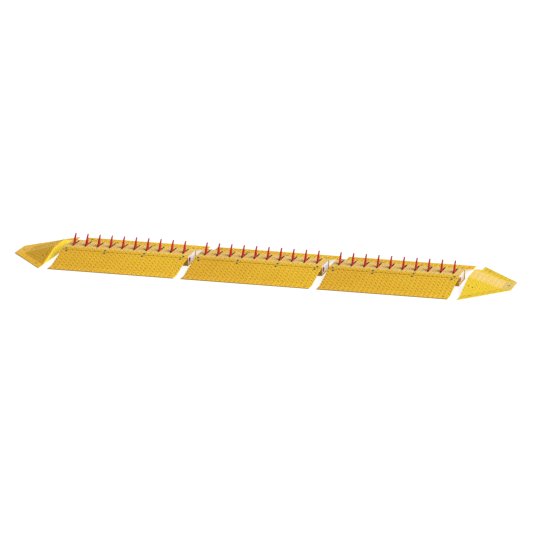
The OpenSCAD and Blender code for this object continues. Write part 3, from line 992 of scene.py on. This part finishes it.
def spike_outline():
    """Outline of a spike about the shaft's axis in Y and Z, counterclockwise from its heel."""
    back = curve(SHOULDER, NECK_PULL, SPIKE_SIZE, OUTLINE_STEPS)
    front = curve(SPIKE_SIZE, FRONT_PULL, ROOT_FRONT, OUTLINE_STEPS)
    reach, drop, rise = HEEL
    low = -math.sqrt(HUB_R ** 2 - drop ** 2)
    under = np.linspace(math.atan2(-drop, low), 0.0, OUTLINE_STEPS)
    hub = HUB_R * np.stack([np.cos(under), np.sin(under)], -1)
    heel_top = -HUB_R + (ROOT_FRONT[0] + HUB_R) * rise / ROOT_FRONT[1]
    heel = [(heel_top, rise), (-reach, rise), (-reach, -drop)]
    return np.concatenate([heel, hub, [ROOT_BACK], back, front[1:]])


def drawn_in(outline, width):
    """The outline moved inwards by a width, square to its edges, and by at most twice that at corners."""
    edge = np.roll(outline, -1, 0) - outline
    edge /= np.linalg.norm(edge, axis=1)[:, None]
    inward = np.stack([-edge[:, 1], edge[:, 0]], -1)
    before = np.roll(inward, 1, 0)
    corner = inward + before
    corner /= np.maximum(0.5, (corner * inward).sum(1))[:, None]
    return outline + width * corner


class SPIKESTRIP_OT_spikes(bpy.types.Operator):
    """Adds the leaning spikes with ground edges, fixed on their shafts"""

    bl_idname = "spikestrip.spikes"
    bl_label = "Spikes"

    def execute(self, context):
        chamfer = context.scene.spike_strip.spike.chamfer
        outline = spike_outline()
        inner = drawn_in(outline, chamfer)
        half = SPIKE_T / 2
        levels = ((-half, inner), (chamfer - half, outline), (half - chamfer, outline), (half, inner))
        rings = np.stack([np.column_stack([np.full(len(p), x), p]) for x, p in levels])
        quads, ends = ring_faces(len(rings), len(outline))
        shape = rings.reshape(-1, 3) + (0.0, SHAFT_Y, SHAFT_H)
        for section in SECTIONS:
            placed = np.array([shape + (x, 0.0, 0.0) for x in spike_places(section)])
            faces = repeat_faces(quads, ends, len(shape), len(placed))
            piece = add_piece(
                f"{section}_spike_row", placed, faces, red_finish(), f"{section}_spike_bar", "red_steel"
            )
            piece.data.polygons.foreach_set("use_smooth", np.zeros(len(faces), bool))
            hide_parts(f"{section}_spikes")
        return {"FINISHED"}


class SPIKESTRIP_OT_return_springs(bpy.types.Operator):
    """Adds the torsion springs that stand the spikes up"""

    bl_idname = "spikestrip.return_springs"
    bl_label = "Return springs"

    WIRE = 0.005
    TURNS = 5
    PITCH = 0.0064
    FOOT = 0.050
    ARM_ANGLE = 175
    GAP = 0.0003
    # Points along the foot, the arm and the tail, and steps round the hook
    FOOT_POINTS = 5
    ARM_POINTS = 6
    TAIL_POINTS = 3
    HOOK_STEPS = 8
    # Rings over which the count round the wire goes over to the arm's side
    TWIST_RINGS = 4

    def path(self, steps, spike_pitch):
        """Line of the wire about the shaft's axis: a straight foot, a helix, a straight arm and its hook.

        The helix is as wide as the base, the deck and the near top edge of the stop bar leave room for.
        Also gives the place in the line where the arm begins, half the helix's length, and the arm's way.
        """
        wire = self.WIRE
        drop = SHAFT_H - WALL_T - wire / 2 - self.GAP
        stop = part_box("middle_stop_bar")[1]
        to_stop = math.hypot(stop.y - SHAFT_Y, stop.z - SHAFT_H)
        radius = min(drop, min(DECK_H - PLATE_T - SHAFT_H, to_stop) - wire / 2 - self.GAP)
        turned = math.radians(360 * self.TURNS + self.ARM_ANGLE)
        a = np.linspace(0.0, turned, int(turned / (2 * math.pi) * steps) + 1)
        half = self.PITCH * turned / (4 * math.pi)
        along = self.PITCH * a / (2 * math.pi) - half
        coil = np.stack([along, -radius * np.sin(a), -radius * np.cos(a)], -1)
        way = np.array([0.0, -math.cos(turned), math.sin(turned)])
        edge = ROOT_BACK - (HUB_R, 0.0)
        square = np.array([0.0, edge[1], -edge[0]]) / np.linalg.norm(edge)
        reach = (wire / 2 + self.GAP - (coil[-1] - (0.0, HUB_R, 0.0)) @ square) / (way @ square)
        end = coil[-1] + reach * way
        foot = np.linspace((-half, self.FOOT, -drop), coil[0], self.FOOT_POINTS)[:-1]
        arm = np.linspace(coil[-1], end - wire * way, self.ARM_POINTS)[1:-1]
        hook = curve(end - wire * way, end, end + (wire, 0.0, 0.0), self.HOOK_STEPS)
        tail = np.linspace(hook[-1], (spike_pitch / 2, end[1], end[2]), self.TAIL_POINTS)[1:]
        return np.concatenate([foot, coil, arm, hook, tail]), len(foot) + len(coil), half, way

    def wire(self, line, twist_from, way, sides):
        """Tube round the line: circles square to it, counted from X and, on the arm, from its side."""
        ahead = np.gradient(line, axis=0)
        ahead /= np.linalg.norm(ahead, axis=1)[:, None]
        side = np.cross(way, (1.0, 0.0, 0.0))
        share = np.clip((np.arange(len(line)) - twist_from) / self.TWIST_RINGS, 0.0, 1.0)[:, None]
        lead = (1 - share) * np.array([1.0, 0.0, 0.0]) + share * side
        lead -= (lead * ahead).sum(1)[:, None] * ahead
        lead /= np.linalg.norm(lead, axis=1)[:, None]
        cross = np.cross(ahead, lead)
        t = np.arange(sides) * 2 * math.pi / sides
        return line[:, None] + self.WIRE / 2 * (
            np.cos(t)[:, None] * lead[:, None] + np.sin(t)[:, None] * cross[:, None]
        )

    def execute(self, context):
        size = context.scene.spike_strip.spike
        for section in SECTIONS:
            xs = spike_places(section)
            line, twist_from, half, way = self.path(size.turn_steps, xs[1] - xs[0])
            tube = self.wire(line, twist_from, way, size.wire_sides)
            quads, ends = ring_faces(len(tube), size.wire_sides)
            spaces = (xs[:-1] + xs[1:]) / 2
            for middle, way_x in ((spaces[SPRING_BAY], 1.0), (spaces[-1 - SPRING_BAY], -1.0)):
                points = tube.reshape(-1, 3) * (way_x, 1.0, 1.0) + (middle, SHAFT_Y, SHAFT_H)
                faces = repeat_faces(quads, ends, len(points), 1, way_x < 0)
                name = f"{section}_spring_{'a' if way_x > 0 else 'b'}"
                piece = add_piece(name, points, faces, wire_finish(), None, "spring_steel")
                reach = way_x * (half - self.WIRE / 2)
                middle - reach
                middle + reach
                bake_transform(piece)
                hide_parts(f"{section}_return_springs")
        return {"FINISHED"}


class SPIKESTRIP_OT_finishes(bpy.types.Operator):
    """Gives the plates, housings, shafts and fittings their finishes"""

    bl_idname = "spikestrip.finishes"
    bl_label = "Finishes"

    def execute(self, context):
        makers = {
            "yellow_tread": tread_finish,
            "yellow_sheet": sheet_finish,
            "white_plastic": plastic_finish,
            "red_steel": red_finish,
            "plain_steel": bar_finish,
            "spring_steel": wire_finish,
            "dark_steel": zinc_finish,
        }
        for part in frame["record"]["subparts"]:
            mesh = frame["nodes"][part["node"]].data
            mesh.materials.clear()
            mesh.materials.append(makers[part["material_slot"]]())
        return {"FINISHED"}


class SPIKESTRIP_OT_stage(bpy.types.Operator):
    """Adds the pale floor, the soft light and the camera"""

    bl_idname = "spikestrip.stage"
    bl_label = "Stage"

    # Half the floor's width, and how much of its white the camera sees without any lamp
    FLOOR_REACH = 60.0
    FLOOR_GLOW = 0.75
    # Colours of the floor: cloudy as it is seen, and even where it throws light on the strip
    FLOOR_SEEN = ((0.35, 0.35, 0.36), (0.37, 0.37, 0.38))
    FLOOR_BOUNCE = (0.80, 0.80, 0.80)
    # Way to the lamp, and the angle that the lamp fills
    LAMP_WAY = (0.752, 0.125, 0.647)
    LAMP_ANGLE = math.radians(60)
    # Width of the camera's sensor in millimetres, and how far it sees
    SENSOR = 36.0
    SIGHT = 200.0

    def floor(self):
        """White studio floor, shown to the camera white where nothing shades it and with a pale shadow."""
        mesh = bpy.data.meshes.new("floor")
        signs = ((-1, -1), (1, -1), (1, 1), (-1, 1))
        corners = [(x * self.FLOOR_REACH, y * self.FLOOR_REACH, 0.0) for x, y in signs]
        mesh.from_pydata(corners, [], [(0, 1, 2, 3)])
        floor = bpy.data.objects.new("floor", mesh)
        bpy.context.scene.collection.objects.link(floor)
        finish = Finish("pale_floor")
        cloud = finish.noise(scale=0.6, detail=2.0)
        colour = finish.mix(cloud, *self.FLOOR_SEEN)
        seen = self.seen(finish)
        colour = finish.mix(seen, self.FLOOR_BOUNCE, colour)
        finish.wear(Base_Color=colour, Roughness=0.9, Specular_IOR_Level=0.0)
        glow = finish.node("ShaderNodeEmission", {}, {"Strength": seen * self.FLOOR_GLOW})
        both = finish.node("ShaderNodeAddShader", {}, {0: finish.shader.outputs[0], 1: glow.outputs[0]})
        finish.feed(finish.output.inputs["Surface"], both.outputs[0])
        mesh.materials.append(finish.material)

    def seen(self, owner):
        """One for rays from the camera, mirrors and glass, and none for the light that floods the strip."""
        path = owner.node("ShaderNodeLightPath", {}, {})
        camera, glossy, through = (
            Field(owner, path.outputs[key])
            for key in ("Is Camera Ray", "Is Glossy Ray", "Is Transmission Ray")
        )
        return camera.larger(glossy).larger(through)

    def world(self, fill):
        """Even light from all round, white to the camera and in reflections."""
        world = bpy.data.worlds.new("studio")
        bpy.context.scene.world = world
        world.use_nodes = True
        studio = NodeTree(world.node_tree)
        strength = fill + self.seen(studio) * (1.0 - fill)
        sky = studio.node("ShaderNodeBackground", {}, {"Color": (1.0, 1.0, 1.0), "Strength": strength})
        studio.node("ShaderNodeOutputWorld", {}, {"Surface": sky.outputs[0]})

    def lamp(self, strength):
        """Wide soft key lamp from the right, above and a little behind."""
        light = bpy.data.lights.new("key_lamp", "SUN")
        light.energy = strength
        light.angle = self.LAMP_ANGLE
        lamp = bpy.data.objects.new("key_lamp", light)
        lamp.rotation_mode = "QUATERNION"
        lamp.rotation_quaternion = Vector(self.LAMP_WAY).to_track_quat("Z", "Y")
        bpy.context.scene.collection.objects.link(lamp)

    def camera(self, stage):
        """Camera on a sphere about its target: right, up and back axes from turn, tilt and roll."""
        cos, sin = math.cos, math.sin
        ahead = np.array([
            -sin(stage.turn) * cos(stage.tilt), cos(stage.turn) * cos(stage.tilt), -sin(stage.tilt),
        ])
        level = np.array([cos(stage.turn), sin(stage.turn), 0.0])
        upward = np.cross(level, ahead)
        right = cos(stage.roll) * level + sin(stage.roll) * upward
        up = cos(stage.roll) * upward - sin(stage.roll) * level
        place = np.array(stage.target) - stage.distance * ahead
        data = bpy.data.cameras.new("camera")
        data.sensor_width = self.SENSOR
        data.lens = stage.lens
        data.clip_end = self.SIGHT
        camera = bpy.data.objects.new("camera", data)
        pose = np.eye(4)
        pose[:3] = np.column_stack([right, up, -ahead, place])
        camera.matrix_world = Matrix(pose.tolist())
        bpy.context.scene.collection.objects.link(camera)
        bpy.context.scene.camera = camera

    def execute(self, context):
        stage = context.scene.spike_strip.stage
        context.scene.view_settings.view_transform = "Standard"
        self.floor()
        self.world(stage.fill)
        self.lamp(stage.key)
        self.camera(stage)
        return {"FINISHED"}


STEPS = (
    SPIKESTRIP_OT_stage, SPIKESTRIP_OT_finishes, SPIKESTRIP_OT_tread_lugs, SPIKESTRIP_OT_ramp_bolts,
    SPIKESTRIP_OT_spikes, SPIKESTRIP_OT_return_springs,
)


class SPIKESTRIP_PT_panel(bpy.types.Panel):
    """Lists the steps and settings of the spike strip's looks"""

    bl_label = "Spike Strip"
    bl_idname = "SPIKESTRIP_PT_panel"
    bl_space_type = "VIEW_3D"
    bl_region_type = "UI"
    bl_category = "Spike Strip"

    def draw(self, context):
        strip = context.scene.spike_strip
        for group in (strip.tread, strip.bolt, strip.spike, strip.finish, strip.stage):
            box = self.layout.box()
            for key in group.__annotations__:
                box.prop(group, key)
        for step in STEPS:
            self.layout.operator(step.bl_idname)


GROUPS = (TreadSettings, BoltSettings, SpikeSettings, FinishSettings, StageSettings, SpikeStripSettings)
CLASSES = GROUPS + STEPS + (SPIKESTRIP_PT_panel,)


def register():
    for item in CLASSES:
        bpy.utils.register_class(item)
    bpy.types.Scene.spike_strip = PointerProperty(type=SpikeStripSettings)


def unregister():
    del bpy.types.Scene.spike_strip
    for item in reversed(CLASSES):
        bpy.utils.unregister_class(item)


def main():
    """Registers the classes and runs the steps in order."""
    register()
    bpy.ops.spikestrip.stage()
    bpy.ops.spikestrip.finishes()
    bpy.ops.spikestrip.tread_lugs()
    bpy.ops.spikestrip.ramp_bolts()
    bpy.ops.spikestrip.spikes()
    bpy.ops.spikestrip.return_springs()


if __name__ == "__main__":
    main()
